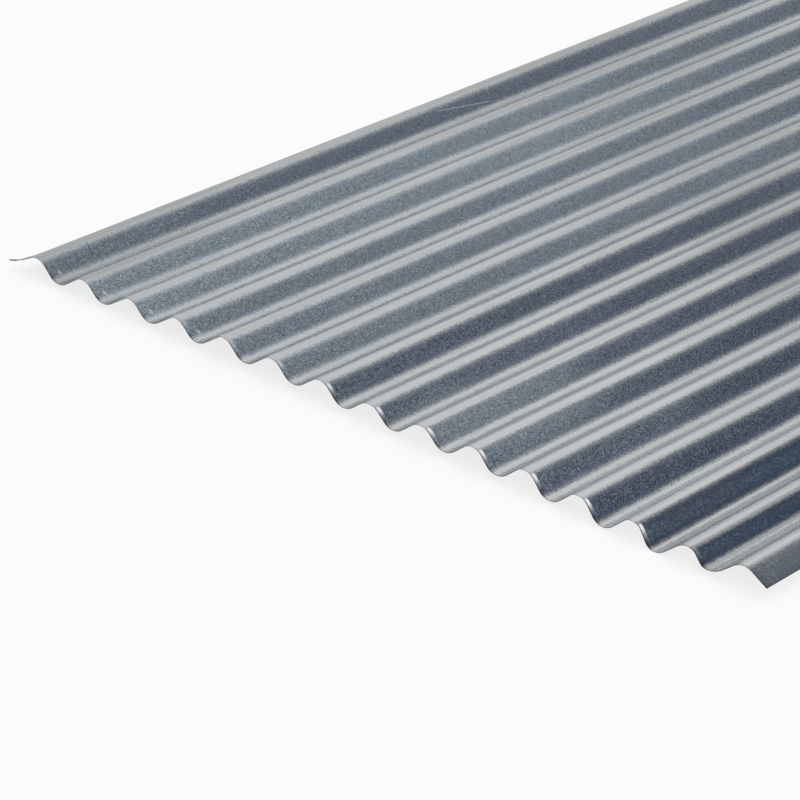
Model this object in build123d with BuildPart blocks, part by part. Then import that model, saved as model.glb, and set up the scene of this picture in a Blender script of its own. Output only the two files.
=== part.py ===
from build123d import *
import os
from math import cos, radians, sin

# Corrugated steel sheet: one length of zinc-coated strip, roll-formed into waves that run along Y.
# X goes across the waves and Z is up. The origin is on the floor, under the middle of the sheet.

# Stock, in millimetres
sheet_length = 2000.0
sheet_thickness = 0.7

# Wave section, in millimetres and degrees
wave_pitch = 76.0
wave_depth = 20.0  # trough to crest, on one face of the sheet
crest_count = 15
flank_angle = 42.0  # slope of the straight flank between two bends

# Underlap edge on the -X side: a plain flank, cut off before it reaches a trough
underlap_reach = 27.0  # from the first crest line to the edge

# Overlap edge on the +X side: an opened flank, cut off before it reaches a trough
overlap_reach = 33.0  # from the last crest line to the edge
overlap_angle = 29.0  # slope of its flank


def bend_run(radius, angle):
    """Distance along X that a bend takes up from level to this slope."""
    return radius * sin(radians(angle))


def bend_rise(radius, angle):
    """Height that a bend takes up from level to this slope."""
    return radius * (1 - cos(radians(angle)))


def slope_direction(angle):
    """Unit vector that climbs towards +X at this angle."""
    return (cos(radians(angle)), sin(radians(angle)))


# A half wave is a crest bend, a straight flank and a trough bend, each tangent to the next.
# Its run is half a pitch and its rise is the wave depth, which settles the bend and the flank.
flank_run, flank_rise = slope_direction(flank_angle)
bend_radius = (wave_pitch / 2 * flank_rise - wave_depth * flank_run) / (2 * (1 - flank_run))
flank_length = wave_depth * flank_rise / (1 - flank_run) - wave_pitch / 2

# Radii on the two faces of the sheet: a bend is wider on its outer face
outer_radius = bend_radius + sheet_thickness / 2
inner_radius = bend_radius - sheet_thickness / 2

# The edge flanks fill what the crest bends leave of each edge's reach, measured on the upper face
underlap_flank = (underlap_reach - bend_run(outer_radius, flank_angle)) / flank_run
overlap_flank = (overlap_reach - bend_run(outer_radius, overlap_angle)) / cos(radians(overlap_angle))

# The upper face starts at the underlap edge, this far below the crests
sheet_width = underlap_reach + (crest_count - 1) * wave_pitch + overlap_reach
crest_height = wave_depth + sheet_thickness
underlap_drop = bend_rise(outer_radius, flank_angle) + underlap_flank * flank_rise
upper_start = Vector(-sheet_width / 2, crest_height - underlap_drop)

# The lower face starts one thickness away, square to the flank
lower_start = upper_start + Vector(flank_rise, -flank_run) * sheet_thickness


def draw_face(start, crest_radius, trough_radius):
    """Draw one face of the section, from the underlap edge to the overlap edge, and return its end."""
    flank = PolarLine(start, underlap_flank, flank_angle)
    for _ in range(crest_count - 1):
        crest = JernArc(flank @ 1, slope_direction(flank_angle), crest_radius, -2 * flank_angle)
        flank = PolarLine(crest @ 1, flank_length, -flank_angle)
        trough = JernArc(flank @ 1, slope_direction(-flank_angle), trough_radius, 2 * flank_angle)
        flank = PolarLine(trough @ 1, flank_length, flank_angle)
    crest = JernArc(flank @ 1, slope_direction(flank_angle), crest_radius, -flank_angle - overlap_angle)
    flank = PolarLine(crest @ 1, overlap_flank, -overlap_angle)
    return flank @ 1


# The sheet: its two faces joined at the cut edges, then run out to both ends
with BuildPart() as corrugated_sheet:
    with BuildSketch(Plane.XZ) as wave_section:
        with BuildLine() as wave_outline:
            upper_end = draw_face(upper_start, outer_radius, inner_radius)
            lower_end = draw_face(lower_start, inner_radius, outer_radius)
            Line(upper_start, lower_start)
            Line(upper_end, lower_end)
        make_face()
    extrude(amount=sheet_length / 2, both=True)

corrugated_sheet.part.label = "corrugated_sheet"
os.makedirs("parts", exist_ok=True)
export_step(corrugated_sheet.part, "parts/corrugated_sheet.step")
print(f"width {sheet_width:.1f} bend radius {bend_radius:.2f} flank {flank_length:.2f}")
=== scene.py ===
from math import cos, floor, pi, radians, sin

import bpy
import numpy as np
from mathutils import Matrix, Vector, noise


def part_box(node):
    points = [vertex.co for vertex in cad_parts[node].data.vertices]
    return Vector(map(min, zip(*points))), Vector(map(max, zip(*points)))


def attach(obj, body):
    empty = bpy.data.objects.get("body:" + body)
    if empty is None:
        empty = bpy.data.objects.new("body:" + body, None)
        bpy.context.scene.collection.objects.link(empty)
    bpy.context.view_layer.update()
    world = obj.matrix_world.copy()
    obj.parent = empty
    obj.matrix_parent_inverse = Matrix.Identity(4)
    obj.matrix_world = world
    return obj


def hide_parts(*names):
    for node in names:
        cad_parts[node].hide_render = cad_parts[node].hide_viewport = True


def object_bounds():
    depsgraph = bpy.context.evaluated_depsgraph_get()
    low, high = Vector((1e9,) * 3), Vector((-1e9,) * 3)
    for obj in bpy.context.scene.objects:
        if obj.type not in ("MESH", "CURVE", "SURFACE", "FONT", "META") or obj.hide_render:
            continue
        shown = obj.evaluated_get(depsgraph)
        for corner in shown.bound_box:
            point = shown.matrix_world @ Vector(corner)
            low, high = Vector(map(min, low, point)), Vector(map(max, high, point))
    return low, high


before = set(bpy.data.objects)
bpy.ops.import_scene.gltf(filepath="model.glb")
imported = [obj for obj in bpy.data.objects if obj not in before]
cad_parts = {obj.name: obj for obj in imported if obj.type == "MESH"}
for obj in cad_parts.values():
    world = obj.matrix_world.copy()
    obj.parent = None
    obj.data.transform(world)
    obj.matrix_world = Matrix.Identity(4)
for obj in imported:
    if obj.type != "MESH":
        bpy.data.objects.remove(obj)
cad_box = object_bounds()

# Sheet section, in metres and degrees, as the solid has it
NODE = "corrugated_sheet"
SHEET_THICKNESS = 0.0007
WAVE_PITCH = 0.076
WAVE_DEPTH = 0.020
CREST_COUNT = 15
FLANK_ANGLE = 42.0
UNDERLAP_REACH = 0.027
OVERLAP_REACH = 0.033
OVERLAP_ANGLE = 29.0

# How finely the skin is divided
BEND_STEPS = 12
FLANK_STEPS = 2
ROW_SPACING = 0.025
END_ROWS = (0.0, 0.0008, 0.0017, 0.0028, 0.0042, 0.0060, 0.0082, 0.012)
SHARP_ANGLE = 50.0

# Knots are pairs of a place and the amount there, with an easing between them. Crest numbers count
# pitches from the first crest line, and a place in the wave is the part of one pitch past a crest.
# Places along are in metres along Y. A lean is how far a face turns towards the overlap edge.

# How the handled sheet strays from its true form at the front end: knots of (crest number, amount)
BOW_HEIGHTS = ((-0.4, 0.0006), (1.2, -0.0024), (5.0, 0.0024), (7.0, 0.0003), (8.7, 0.0018),
               (12.8, -0.0044), (14.1, 0.0036))
DEPTH_SHARES = ((10.0, 0.0), (12.4, 0.13), (14.0, 0.0))
SIDE_SHIFTS = ((11.0, 0.0), (13.4, -0.0055), (14.2, 0.0))
FAR_END_SHARE = 0.3

# A sag behind the front end: knots of (crest number, depth), and of (place along, share)
SAG_DEPTHS = ((7.2, 0.0), (8.3, 0.0018), (9.4, 0.0034), (10.4, 0.0028), (12.0, 0.0))
SAG_SHARES = ((-1.0, 0.0), (-0.48, 1.0), (0.5, 0.3))

# Small random waviness of the rolled sheet
DRIFT_HEIGHT = 0.00045
DRIFT_ACROSS = 0.060
DRIFT_ALONG = 0.330
DRIFT_SEED = 7.3

# The front corner of the underlap edge, bent outwards
CORNER_REACH = 0.046
CORNER_DROP = 0.0185
CORNER_LENGTH = 0.011

# The front end, turned up by the shear:
# knots of (crest number, height), and of (place in the wave, share)
LIFT_HEIGHTS = ((0.6, 0.0), (2.0, 0.0020), (4.0, 0.0016), (5.0, 0.0010), (6.0, 0.0014), (7.0, 0.0))
LIFT_LENGTH = 0.030
FLARE_HEIGHTS = ((7.6, 0.0), (9.2, 0.0016), (10.2, 0.0026), (12.2, 0.0026), (13.4, 0.0))
FLARE_SHARES = ((-0.20, 0.0), (-0.04, 0.9), (0.14, 1.0), (0.34, 0.0))
FLARE_LENGTH = 0.012

# Cut ends: a dark sheared edge with painted shade, which runs deeper on the flanks where the underside
# and the cut face lie in shade, and a painted glint on the shoulders inside it.
# Knots of (place in the wave, amount), of (distance from the end, share) and of (crest number, amount)
SHEAR_AND_SHADE_SHARES = ((0.0, 0.45), (0.16, 0.55), (0.30, 1.0), (0.52, 0.6), (0.75, 1.0), (1.0, 0.45))
SIDE_RIM = 0.0016
SIDE_SHEAR_LENGTH = 0.0008
LAST_SHEAR_AND_SHADE_LENGTHS = ((12.4, 0.0), (13.0, 0.0012))
CORNER_SHEAR_SHARES = ((-0.27, 1.0), (-0.15, 0.2))
SHEAR_AND_SHADE_LENGTHS = ((0.26, 0.0005), (0.36, 0.0025), (0.44, 0.0005), (0.70, 0.0005), (0.83, 0.0060),
                 (0.96, 0.0005))
GLINT_PLACE_SHARES = ((0.08, 0.0), (0.13, 1.0), (0.22, 1.0), (0.27, 0.0))
GLINT_DEPTHS = ((0.0006, 0.0), (0.0018, 1.0), (0.0064, 1.0), (0.0084, 0.0))
GLINT_SHARES = ((2.0, 0.0), (4.0, 0.5), (7.0, 0.9), (12.2, 1.0), (13.0, 0.3), (13.7, 0.0))

# Zinc coating: bright crystals under a dull oxide film that partly stands in for a painted reflection,
# with painted shade, painted glints and a dark sheared edge
BRIGHT_ZINC = (0.560, 0.573, 0.581, 1.0)
DULL_AND_SHADED_ZINC = (0.350, 0.360, 0.362, 1.0)
DARK_FILM_AND_REFLECTION = (0.205, 0.247, 0.275, 1.0)
PALE_FILM_AND_REFLECTION = (0.430, 0.505, 0.560, 1.0)
PALE_AND_GLINT_ZINC = (0.93, 0.93, 0.95, 1.0)
SHEARED_STEEL_AND_SHADE = (0.020, 0.021, 0.023, 1.0)
FILM_EDGE_TINT = (0.55, 0.55, 0.55, 1.0)
BRIGHT_ROUGHNESS = 0.25
FILMED_ROUGHNESS = 0.32
SPANGLE_SIZE = 0.0015
SPANGLE_TILT = 0.085
FULL_COVER_SHARE = 0.4
MIDDLE_SHARE = 0.5  # of the random numbers, which run from 0 to 1

# Film by place, which is partly a painted reflection that makes the flanks of the first waves lighter:
# knots of (crest number, share), and patches of (crest number, place along, reach in crests, reach
# along, share)
FILM_AND_REFLECTION_SHARES = ((-0.12, 0.60), (0.2, 0.27), (0.4, 0.27), (1.1, 0.61), (2.4, 0.61), (3.1, 0.47),
               (5.4, 0.48), (6.1, 0.18), (7.4, 0.13), (11.2, 0.07), (12.2, -0.16), (13.4, -0.16),
               (13.9, 0.06))
FILM_AND_REFLECTION_PATCHES = ((8.4, -0.93, 1.4, 0.28, 0.335),
                (8.2, -0.75, 2.2, 0.30, 0.10),
                (10.3, -0.93, 0.9, 0.32, 0.155),
                (4.9, 0.02, 1.9, 0.20, 0.03),
                (3.2, -0.20, 2.2, 0.40, 0.03),
                (0.2, -0.97, 0.8, 0.30, 0.10))
PATCH_EDGE_SHARE = 0.55
CLOUD_ACROSS = 0.11
CLOUD_ALONG = 0.30
CLOUD_SEED = 3.1
CLOUD_SHARE = 0.12

# Towards the back the film and the dullness even out:
# their shares there, and knots of (place along, how even)
BACK_FILM_SHARE = 0.32
BACK_DULL_SHARE = 0.50
EVEN_SHARES = ((-0.10, 0.0), (0.60, 1.0))

# Film, with its painted reflection, lies on the flanks: knots of (crest number, lean where it starts),
# of (crest number, lean where it is full)
# and of (crest number, share of the film on the side that faces the underlap edge)
FILM_AND_REFLECTION_START_LEANS = ((5.5, 0.08), (6.3, 0.28))
FILM_AND_REFLECTION_FULL_LEANS = ((5.5, 0.66), (6.3, 0.62))
FAR_FLANK_SHARES = ((5.4, 0.90), (6.8, 0.30), (8.4, 0.05))

# Paler colour on the bends at both edges of a flank, first for the flanks that face the overlap edge,
# then painted light for the others, which lightens the shade between waves: knots of (crest number,
# share) and of (lean, share) for each
NEAR_PALING_SHARES = ((0.3, 0.10), (1.0, 0.20), (5.4, 0.20), (6.1, 0.0))
NEAR_PALING_LEANS = ((0.10, 0.0), (0.40, 1.0), (0.64, 0.0))
FAR_PAINTED_LIGHT_SHARES = ((0.3, 0.0), (0.6, 0.26), (6.4, 0.26), (9.0, 0.38), (12.0, 0.48))
FAR_PAINTED_LIGHT_LEANS = ((0.10, 0.0), (0.36, 1.0), (0.48, 1.0), (0.62, 0.0))

# How unevenly the crystals take the film: knots of (place along, share)
SPANGLE_SHARES = ((-1.0, 0.72), (-0.25, 0.36))

# Crests and troughs made darker, more towards the underlap edge and the back: knots of (crest number,
# share) and of (place along, share), where the place moves by the skew from one crest to the next,
# then of (crest number, share) and (lean, share) for painted shade on the bends that turn towards the
# overlap edge, and one patch as above
DULL_SHARES = ((0.6, 0.70), (1.1, 0.50), (3.0, 0.42), (5.0, 0.31), (7.0, 0.18), (9.0, 0.08))
ALONG_DULL_SHARES = ((-0.55, 0.0), (-0.30, 0.22), (-0.10, 0.70))
DULL_SKEW = 0.045
UNSKEWED_CREST = 5
BEND_SHADE_SHARES = ((11.5, 0.0), (12.0, 0.9), (13.9, 1.0))
BEND_SHADE_LEANS = ((0.06, 0.0), (0.26, 1.0))
DULL_PATCH = (0.0, -1.0, 2.0, 0.42, 0.45)

# Streaks that the rolls draw along the waves
STREAK_WIDTH = 0.0028
STREAK_LENGTH = 0.50
STREAK_SHARE = 1.3

# Scratches across the film as (start, end, width), and a painted glint on each of the first waves
DARK_SCRATCH = ((-0.5295, -0.9160), (-0.5150, -0.9190), 0.0022)
PALE_SCRATCH = ((-0.521, -0.213), (-0.5105, -0.107), 0.0016)
GLINT_SPOT_START = (-0.5110, -0.9835)
GLINT_SPOT_END = (-0.5095, -0.9825)
GLINT_SPOT_WIDTH = 0.0075
GLINT_SPOT_COUNT = 4
DARK_SCRATCH_SHARE = 0.9
PALE_SCRATCH_AND_GLINT_SHARE = 0.6

# Camera, from the photograph: place in metres, angles in degrees, lens and sensor in millimetres
CAMERA_PLACE = (2.5635, -4.4443, 2.1374)
CAMERA_AZIMUTH = 36.22
CAMERA_ELEVATION = 26.06
CAMERA_ROLL = 5.70
CAMERA_LENS = 184.5
CAMERA_SENSOR = 36.0

# Studio, in metres
FLOOR_SIDE = 16.0
FLOOR_GAP = 0.0004
WHITE = (1.0, 1.0, 1.0, 1.0)
DARK_FLAG = (0.010, 0.042, 0.100, 1.0)
GREY_WALL = (0.90, 0.90, 0.90, 1.0)

# Grey walls and dark flags round the studio, in degrees:
# (azimuth, elevation, inner reach, outer reach, colour)
FLAGS = ((-50, 0, 5, 45, GREY_WALL), (130, 0, 5, 45, GREY_WALL),
         (29, 31, 5, 41, DARK_FLAG), (209, 31, 5, 41, DARK_FLAG))
FLOOR_COLOUR = (0.9, 0.9, 0.9, 1.0)
FLOOR_ROUGHNESS = 0.9
FLOOR_GLOW_SHARE = 0.75

# The two sides of the skin, and what keeps the level part of a vector
UPPER = 0
LOWER = 1
LEVEL_PART = (1.0, 1.0, 0.0)


def bend(radius, turn):
    """A bend of the section: its radius, turn in degrees and number of steps."""
    return radius, turn, BEND_STEPS


def flank(length):
    """A straight run of the section: its length and number of steps."""
    return length, None, FLANK_STEPS


def section_strokes():
    """The section as bends and flanks, from the underlap edge to the overlap edge, at mid thickness."""
    run = cos(radians(FLANK_ANGLE))
    rise = sin(radians(FLANK_ANGLE))
    radius = (WAVE_PITCH / 2 * rise - WAVE_DEPTH * run) / (2 * (1 - run))
    length = WAVE_DEPTH * rise / (1 - run) - WAVE_PITCH / 2
    outer = radius + SHEET_THICKNESS / 2
    under_run = UNDERLAP_REACH - outer * rise
    over_run = OVERLAP_REACH - outer * sin(radians(OVERLAP_ANGLE))

    strokes = [flank(SIDE_RIM), flank(under_run / run - SIDE_RIM)]
    for _ in range(CREST_COUNT - 1):
        strokes += [bend(radius, -2 * FLANK_ANGLE), flank(length)]
        strokes += [bend(radius, 2 * FLANK_ANGLE), flank(length)]
    over_length = over_run / cos(radians(OVERLAP_ANGLE))
    strokes += [bend(radius, -FLANK_ANGLE - OVERLAP_ANGLE)]
    strokes += [flank(over_length - SIDE_RIM), flank(SIDE_RIM)]
    return strokes


def section_line():
    """Points (x, z) along the section at mid thickness, and the slope at each in radians."""
    x = z = 0.0
    slope = radians(FLANK_ANGLE)
    points = [(x, z, slope)]
    for size, turn, steps in section_strokes():
        step_turn = radians(turn) / steps if turn else 0.0
        step_length = 2 * size * sin(abs(step_turn) / 2) if turn else size / steps
        for _ in range(steps):
            x += step_length * cos(slope + step_turn / 2)
            z += step_length * sin(slope + step_turn / 2)
            slope += step_turn
            points.append((x, z, slope))
    return np.array(points)


def row_places(low, high):
    """Places along the sheet, close together at both cut ends."""
    inner = low + END_ROWS[-1]
    outer = high - END_ROWS[-1]
    count = round((outer - inner) / ROW_SPACING)
    middle = np.linspace(inner, outer, count + 1)
    near = [low + step for step in END_ROWS[:-1]]
    far = [high - step for step in reversed(END_ROWS[:-1])]
    return np.array([*near, *middle, *far])


def eased(knots, place):
    """Amount at a place, easing from each knot to the next."""
    if place <= knots[0][0]:
        return knots[0][1]
    for (start, low), (end, high) in zip(knots, knots[1:]):
        if place <= end:
            share = (place - start) / (end - start)
            return low + (high - low) * share * share * (3 - 2 * share)
    return knots[-1][1]


def drift(x, y):
    """Height by which the rolled sheet strays at random."""
    return DRIFT_HEIGHT * noise.noise(Vector((x / DRIFT_ACROSS, y / DRIFT_ALONG, DRIFT_SEED)))


def patch_share(number, y, crest, along, crests, reach, share):
    """How much film or dullness a patch adds at a place: its share inside, none beyond its reach."""
    away = np.hypot((number - crest) / crests, (y - along) / reach)
    return share * eased(((PATCH_EDGE_SHARE, 1.0), (1.0, 0.0)), away)


def surface_looks(number, lean, x, y):
    """Film with its painted reflection, uneven film, darkening with painted shade, and paling with
    painted light at a place that leans this far towards the overlap edge.
    """
    even = eased(EVEN_SHARES, y)
    # By crest number the film is partly a painted reflection: it makes the flanks of the first waves
    # lighter
    film_and_reflection = eased(FILM_AND_REFLECTION_SHARES, number)
    film_and_reflection += (BACK_FILM_SHARE - film_and_reflection) * even
    film_and_reflection += sum(patch_share(number, y, *patch) for patch in FILM_AND_REFLECTION_PATCHES)
    film_and_reflection *= 1 + CLOUD_SHARE * noise.noise(Vector((x / CLOUD_ACROSS, y / CLOUD_ALONG, CLOUD_SEED)))
    start = eased(FILM_AND_REFLECTION_START_LEANS, number)
    full = eased(FILM_AND_REFLECTION_FULL_LEANS, number)
    flank_share = eased(((start, 0.0), (full, 1.0)), abs(lean))
    near_share = eased(((start, 0.0), (full, 1.0)), lean)
    if lean < 0:
        film_and_reflection *= eased(FAR_FLANK_SHARES, number)
    dull_and_shade = eased(DULL_SHARES, number) + patch_share(number, y, *DULL_PATCH)
    dull_and_shade += eased(ALONG_DULL_SHARES, y + (number - UNSKEWED_CREST) * DULL_SKEW)
    # Painted shade on the near bends of the last waves
    dull_and_shade += eased(BEND_SHADE_SHARES, number) * eased(BEND_SHADE_LEANS, lean)
    dull_and_shade += (BACK_DULL_SHARE - dull_and_shade) * even
    spangle = eased(SPANGLE_SHARES, y) * near_share
    # Paler near bends on the first waves, and painted light on the far bends that lightens the shade
    # between waves
    paling = eased(NEAR_PALING_SHARES, number) * eased(NEAR_PALING_LEANS, lean)
    paling += eased(FAR_PAINTED_LIGHT_SHARES, number) * eased(FAR_PAINTED_LIGHT_LEANS, -lean)
    return film_and_reflection * flank_share, spangle, min(dull_and_shade, 1.0) * (1 - near_share), paling * (1 - even)


def shape_point(x, z, number, top, y, front, back):
    """A point of the true sheet, moved to where the handled sheet has it."""
    along = 1 - (1 - FAR_END_SHARE) * (y - front) / (back - front)
    below = top - z
    if number < 0:
        share = -number * WAVE_PITCH / UNDERLAP_REACH
        bent = np.exp(-((y - front) / CORNER_LENGTH) ** 2)
        x -= bent * share * (CORNER_REACH - UNDERLAP_REACH)
        z += bent * (below - CORNER_DROP * (1 - cos(pi * share)) / 2)
    x += along * eased(SIDE_SHIFTS, number) * below / WAVE_DEPTH
    z += along * (eased(BOW_HEIGHTS, number) - eased(DEPTH_SHARES, number) * below)
    z -= eased(SAG_DEPTHS, number) * eased(SAG_SHARES, y)
    z += eased(LIFT_HEIGHTS, number) * np.exp(-(y - front) / LIFT_LENGTH)
    flare = eased(FLARE_HEIGHTS, number) * eased(FLARE_SHARES, number - round(number))
    z += flare * np.exp(-(y - front) / FLARE_LENGTH)
    return x, z + drift(x, y)


def edge_looks(number, from_end, from_side):
    """How dark the sheared edge and its painted shade are at a place, and how strong the painted glint
    inside it is.
    """
    phase = number - floor(number)
    # The longer dark reach on the flanks and on the last waves is painted shade; the thin edge itself
    # is dark sheared steel
    length = eased(SHEAR_AND_SHADE_LENGTHS, phase) + eased(LAST_SHEAR_AND_SHADE_LENGTHS, number)
    shear_and_shade = eased(SHEAR_AND_SHADE_SHARES, phase) if number > 0 else eased(CORNER_SHEAR_SHARES, number)
    shear_and_shade = max(shear_and_shade * np.exp(-from_end / length), np.exp(-from_side / SIDE_SHEAR_LENGTH))
    # A painted glint on the shoulders just inside the cut end
    glint = eased(GLINT_SHARES, number) * eased(GLINT_PLACE_SHARES, phase) * eased(GLINT_DEPTHS, from_end)
    return shear_and_shade, glint


def skin_faces(row_count, column_count):
    """Faces of the closed skin, as point numbers: both sides, then the four cut edges."""

    def at(side, row, column):
        return (side * row_count + row) * column_count + column

    def quad(side, row, column):
        return (at(side, row, column), at(side, row, column + 1),
                at(side, row + 1, column + 1), at(side, row + 1, column))

    last_row = row_count - 1
    last_column = column_count - 1
    faces = []
    for row in range(last_row):
        for column in range(last_column):
            faces.append(quad(UPPER, row, column))
            faces.append(quad(LOWER, row, column)[::-1])
    for column in range(last_column):
        faces.append((at(LOWER, 0, column), at(LOWER, 0, column + 1),
                      at(UPPER, 0, column + 1), at(UPPER, 0, column)))
        faces.append((at(UPPER, last_row, column), at(UPPER, last_row, column + 1),
                      at(LOWER, last_row, column + 1), at(LOWER, last_row, column)))
    for row in range(last_row):
        faces.append((at(LOWER, row + 1, 0), at(LOWER, row, 0),
                      at(UPPER, row, 0), at(UPPER, row + 1, 0)))
        faces.append((at(LOWER, row, last_column), at(LOWER, row + 1, last_column),
                      at(UPPER, row + 1, last_column), at(UPPER, row, last_column)))
    return faces


def make_sheet():
    """The sheet's skin: both faces and the four cut edges as one closed mesh."""
    low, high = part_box(NODE)
    line = section_line()
    normals = np.stack([-np.sin(line[:, 2]), np.cos(line[:, 2])], axis=1)
    half = SHEET_THICKNESS / 2
    upper = line[:, :2] + half * normals
    lower = line[:, :2] - half * normals
    shift = np.array([low[0], low[2]]) - np.minimum(upper.min(axis=0), lower.min(axis=0))
    numbers = (line[:, 0] + shift[0] - low[0] - UNDERLAP_REACH) / WAVE_PITCH
    steps = np.hypot(*np.diff(line[:, :2], axis=0).T)
    from_start = np.concatenate([[0.0], np.cumsum(steps)])
    from_sides = np.minimum(from_start, from_start[-1] - from_start)
    rows = row_places(low[1], high[1])

    vertices = []
    looks = []
    for face in (upper + shift, lower + shift):
        top = face[:, 1].max()
        for y in rows:
            from_end = min(y - low[1], high[1] - y)
            for (x, z), number, lean, from_side in zip(face, numbers, normals[:, 0], from_sides):
                film_and_reflection, spangle, dull_and_shade, paling = surface_looks(number, lean, x, y)
                shear_and_shade, glint = edge_looks(number, from_end, from_side)
                looks.append((film_and_reflection, spangle, dull_and_shade, shear_and_shade, max(glint, paling)))
                x, z = shape_point(x, z, number, top, y, low[1], high[1])
                vertices.append((x, y, z))
    vertices = np.array(vertices)
    vertices[:, 2] += low[2] - vertices[:, 2].min()

    mesh = bpy.data.meshes.new("rolled_sheet")
    mesh.from_pydata(vertices.tolist(), [], skin_faces(len(rows), len(line)))
    mesh.polygons.foreach_set("use_smooth", [True] * len(mesh.polygons))
    mesh.set_sharp_from_angle(angle=radians(SHARP_ANGLE))
    for name, values in zip(("film_and_reflection", "spangle", "dull_and_shade", "shear_and_shade", "pale"), np.array(looks).T):
        layer = mesh.attributes.new(name, "FLOAT", "POINT")
        layer.data.foreach_set("value", np.ascontiguousarray(values))
    sheet = bpy.data.objects.new("rolled_sheet", mesh)
    bpy.context.collection.objects.link(sheet)
    return sheet


def join(tree, value, socket):
    """Feed a socket from another socket, or set it to a number, colour or vector."""
    if isinstance(value, bpy.types.NodeSocket):
        tree.links.new(value, socket)
    else:
        socket.default_value = value


def calc(tree, operation, *values):
    """A Math node over sockets or numbers."""
    node = tree.nodes.new("ShaderNodeMath")
    node.operation = operation
    for value, socket in zip(values, node.inputs):
        join(tree, value, socket)
    return node.outputs["Value"]


def vector_calc(tree, operation, *values, output="Vector"):
    """A Vector Math node over sockets or vectors."""
    node = tree.nodes.new("ShaderNodeVectorMath")
    node.operation = operation
    for value, socket in zip(values, node.inputs):
        join(tree, value, socket)
    return node.outputs[output]


def ranged(tree, value, start, end, low=0.0, high=1.0):
    """A smooth step of a value from low at start to high at end."""
    node = tree.nodes.new("ShaderNodeMapRange")
    node.interpolation_type = "SMOOTHSTEP"
    amounts = {"Value": value, "From Min": start, "From Max": end, "To Min": low, "To Max": high}
    for name, amount in amounts.items():
        join(tree, amount, node.inputs[name])
    return node.outputs["Result"]


def mixed(tree, share, first, second):
    """A mix of two colours."""
    node = tree.nodes.new("ShaderNodeMix")
    node.data_type = "RGBA"
    amounts = {"Factor_Float": share, "A_Color": first, "B_Color": second}
    for name, amount in amounts.items():
        socket = next(s for s in node.inputs if s.identifier == name)
        join(tree, amount, socket)
    return next(s for s in node.outputs if s.identifier == "Result_Color")


def split(tree, vector):
    """The three parts of a vector."""
    node = tree.nodes.new("ShaderNodeSeparateXYZ")
    join(tree, vector, node.inputs["Vector"])
    return tuple(node.outputs)


def attribute(tree, name):
    """A number that the mesh carries at each point."""
    node = tree.nodes.new("ShaderNodeAttribute")
    node.attribute_name = name
    return node.outputs["Fac"]


def scratch(tree, place, start, end, width):
    """1 along a straight mark from start to end, 0 away from it."""
    run = Vector((*end, 0.0)) - Vector((*start, 0.0))
    from_start = vector_calc(tree, "SUBTRACT", place, (*start, 0.0))
    from_start = vector_calc(tree, "MULTIPLY", from_start, LEVEL_PART)
    share = vector_calc(tree, "DOT_PRODUCT", from_start, run / run.length_squared, output="Value")
    share = calc(tree, "MINIMUM", calc(tree, "MAXIMUM", share, 0.0), 1.0)
    aside = vector_calc(tree, "MULTIPLY_ADD", share, -run, from_start)
    return ranged(tree, vector_calc(tree, "LENGTH", aside, output="Value"), width / 2, 0.0)


def pale_marks_and_glints(tree, place):
    """Where the sheet is pale: a long scratch, a painted glint on each of the first waves, and the
    paling, painted light and painted glints that the mesh carries.
    """
    pale = scratch(tree, place, *PALE_SCRATCH)
    # A painted glint on each of the first waves
    for wave in range(GLINT_SPOT_COUNT):
        start, end = ((x + wave * WAVE_PITCH, y) for x, y in (GLINT_SPOT_START, GLINT_SPOT_END))
        pale = calc(tree, "MAXIMUM", pale, scratch(tree, place, start, end, GLINT_SPOT_WIDTH))
    pale = calc(tree, "MULTIPLY", pale, PALE_SCRATCH_AND_GLINT_SHARE)
    return calc(tree, "MAXIMUM", pale, attribute(tree, "pale"))


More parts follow.
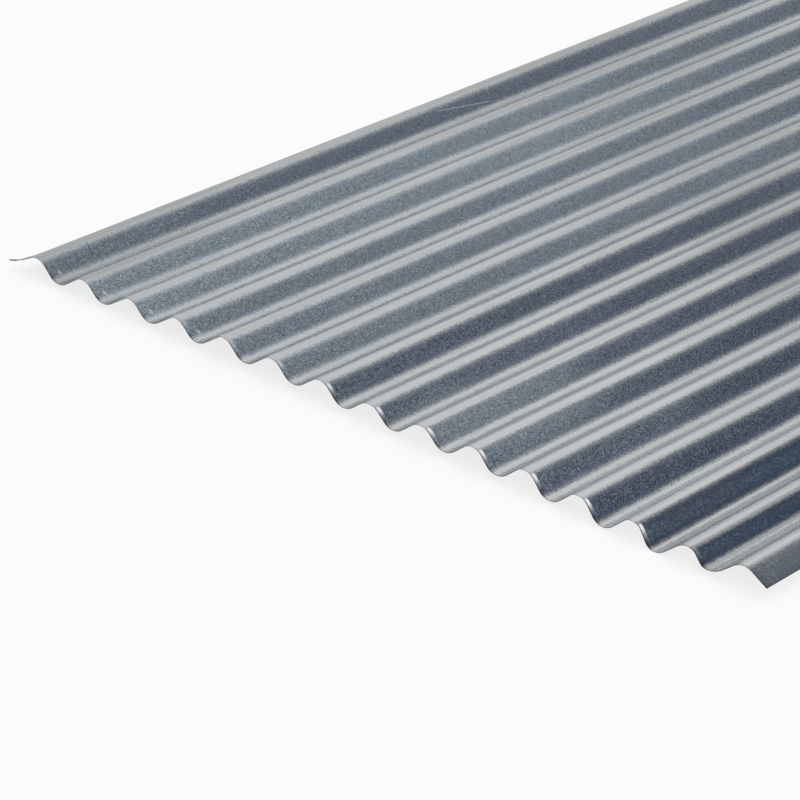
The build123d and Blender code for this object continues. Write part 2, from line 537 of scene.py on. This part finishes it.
def make_zinc():
    """Zinc-coated steel: a fine spangle of bright crystals, with a dull film in patches that is partly
    a painted reflection, and painted shade, light and glints.
    """
    material = bpy.data.materials.new("galvanised_steel")
    material.use_nodes = True
    tree = material.node_tree
    shader = tree.nodes["Principled BSDF"]
    place = tree.nodes.new("ShaderNodeTexCoord").outputs["Object"]

    # Each crystal leans its own way
    crystals = tree.nodes.new("ShaderNodeTexVoronoi")
    crystals.inputs["Scale"].default_value = 1 / SPANGLE_SIZE
    join(tree, place, crystals.inputs["Vector"])
    uneven = vector_calc(tree, "SUBTRACT", crystals.outputs["Color"], (MIDDLE_SHARE,) * 3)
    facing = tree.nodes.new("ShaderNodeNewGeometry").outputs["Normal"]
    leaning = vector_calc(tree, "MULTIPLY_ADD", uneven, (2 * SPANGLE_TILT,) * 3, facing)
    join(tree, vector_calc(tree, "NORMALIZE", leaning), shader.inputs["Normal"])

    # Some crystals take more of the film than others
    chance, grain, _ = split(tree, uneven)
    film_and_reflection = calc(tree, "MULTIPLY_ADD", chance, attribute(tree, "spangle"), attribute(tree, "film_and_reflection"))
    pale = pale_marks_and_glints(tree, place)
    film_and_reflection = calc(tree, "MAXIMUM", film_and_reflection, pale)
    join(tree, calc(tree, "SUBTRACT", 1.0, film_and_reflection), shader.inputs["Metallic"])
    roughness = ranged(tree, film_and_reflection, 0.0, 1.0, BRIGHT_ROUGHNESS, FILMED_ROUGHNESS)
    join(tree, roughness, shader.inputs["Roughness"])

    # Colour: bright or filmed zinc, the film partly a painted reflection, then the pale marks with
    # painted glints and light, and the dark marks with painted shade
    cover = calc(tree, "MINIMUM", calc(tree, "DIVIDE", film_and_reflection, FULL_COVER_SHARE), 1.0)
    join(tree, mixed(tree, cover, WHITE, FILM_EDGE_TINT), shader.inputs["Specular Tint"])
    streaks = tree.nodes.new("ShaderNodeTexNoise")
    streaks.inputs["Scale"].default_value = 1.0
    drawn = vector_calc(tree, "MULTIPLY", place, (1 / STREAK_WIDTH, 1 / STREAK_LENGTH, 0.0))
    join(tree, drawn, streaks.inputs["Vector"])
    streak = calc(tree, "SUBTRACT", streaks.outputs["Fac"], MIDDLE_SHARE)
    dull_and_shade = calc(tree, "MULTIPLY_ADD", streak, STREAK_SHARE, attribute(tree, "dull_and_shade"))
    # Darker crests and troughs with roll streaks, and painted shade on the near bends of the last waves
    bare = mixed(tree, dull_and_shade, BRIGHT_ZINC, DULL_AND_SHADED_ZINC)
    # The film's colour, which partly stands in for a painted reflection
    film_and_reflection_colour = mixed(tree, calc(tree, "ADD", grain, MIDDLE_SHARE), DARK_FILM_AND_REFLECTION, PALE_FILM_AND_REFLECTION)
    zinc = mixed(tree, cover, bare, film_and_reflection_colour)
    # Pale marks: a scratch, painted glints and painted light
    zinc = mixed(tree, pale, zinc, PALE_AND_GLINT_ZINC)
    # Dark sheared edge and scratch, with painted shade where the edge runs deeper on the flanks
    scored = calc(tree, "MULTIPLY", scratch(tree, place, *DARK_SCRATCH), DARK_SCRATCH_SHARE)
    dark = calc(tree, "MAXIMUM", attribute(tree, "shear_and_shade"), scored)
    join(tree, mixed(tree, dark, zinc, SHEARED_STEEL_AND_SHADE), shader.inputs["Base Color"])
    return material


def make_floor():
    """A plain pale floor that keeps the sheet's shadow."""
    low, _ = cad_box
    mesh = bpy.data.meshes.new("floor")
    half = FLOOR_SIDE / 2
    z = low[2] - FLOOR_GAP
    corners = [(-half, -half, z), (half, -half, z), (half, half, z), (-half, half, z)]
    mesh.from_pydata(corners, [], [(0, 1, 2, 3)])
    slab = bpy.data.objects.new("floor", mesh)
    bpy.context.collection.objects.link(slab)
    material = bpy.data.materials.new("floor")
    material.use_nodes = True
    tree = material.node_tree
    shader = tree.nodes["Principled BSDF"]
    shader.inputs["Base Color"].default_value = FLOOR_COLOUR
    shader.inputs["Roughness"].default_value = FLOOR_ROUGHNESS
    rays = tree.nodes.new("ShaderNodeLightPath").outputs
    seen = calc(tree, "MAXIMUM", rays["Is Camera Ray"], rays["Is Glossy Ray"])
    seen = calc(tree, "MAXIMUM", seen, rays["Is Transmission Ray"])
    glow = tree.nodes.new("ShaderNodeEmission")
    glow.inputs["Color"].default_value = WHITE
    both = tree.nodes.new("ShaderNodeMixShader")
    join(tree, calc(tree, "MULTIPLY", seen, FLOOR_GLOW_SHARE), both.inputs["Fac"])
    join(tree, shader.outputs["BSDF"], both.inputs[1])
    join(tree, glow.outputs["Emission"], both.inputs[2])
    join(tree, both.outputs["Shader"], tree.nodes["Material Output"].inputs["Surface"])
    mesh.materials.append(material)


def make_camera():
    """The camera at the photograph's viewing angle."""
    data = bpy.data.cameras.new("camera")
    data.lens = CAMERA_LENS
    data.sensor_width = CAMERA_SENSOR
    camera = bpy.data.objects.new("camera", data)
    camera.matrix_world = (Matrix.Translation(CAMERA_PLACE)
                           @ Matrix.Rotation(radians(CAMERA_AZIMUTH), 4, "Z")
                           @ Matrix.Rotation(pi / 2 - radians(CAMERA_ELEVATION), 4, "X")
                           @ Matrix.Rotation(radians(CAMERA_ROLL), 4, "Z"))
    bpy.context.collection.objects.link(camera)
    bpy.context.scene.camera = camera


def direction(azimuth, elevation):
    """Unit vector towards a place in the sky; azimuth 0 is +Y and 90 is +X."""
    level = cos(radians(elevation))
    return (sin(radians(azimuth)) * level, cos(radians(azimuth)) * level, sin(radians(elevation)))


def make_world():
    """A white studio with dark flags and grey walls, which only reflections see."""
    world = bpy.data.worlds.new("studio")
    world.use_nodes = True
    tree = world.node_tree
    place = tree.nodes.new("ShaderNodeTexCoord").outputs["Generated"]
    glossy = tree.nodes.new("ShaderNodeLightPath").outputs["Is Glossy Ray"]
    colour = WHITE
    for azimuth, elevation, inner, outer, flag_colour in FLAGS:
        middle = direction(azimuth, elevation)
        nearness = vector_calc(tree, "DOT_PRODUCT", place, middle, output="Value")
        shade = ranged(tree, nearness, cos(radians(outer)), cos(radians(inner)))
        colour = mixed(tree, calc(tree, "MULTIPLY", shade, glossy), colour, flag_colour)
    join(tree, colour, tree.nodes["Background"].inputs["Color"])
    bpy.context.scene.world = world


sheet = make_sheet()
sheet.data.materials.append(make_zinc())
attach(sheet, "root")
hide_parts(NODE)
make_floor()
make_camera()
make_world()
bpy.context.scene.view_settings.view_transform = "Standard"
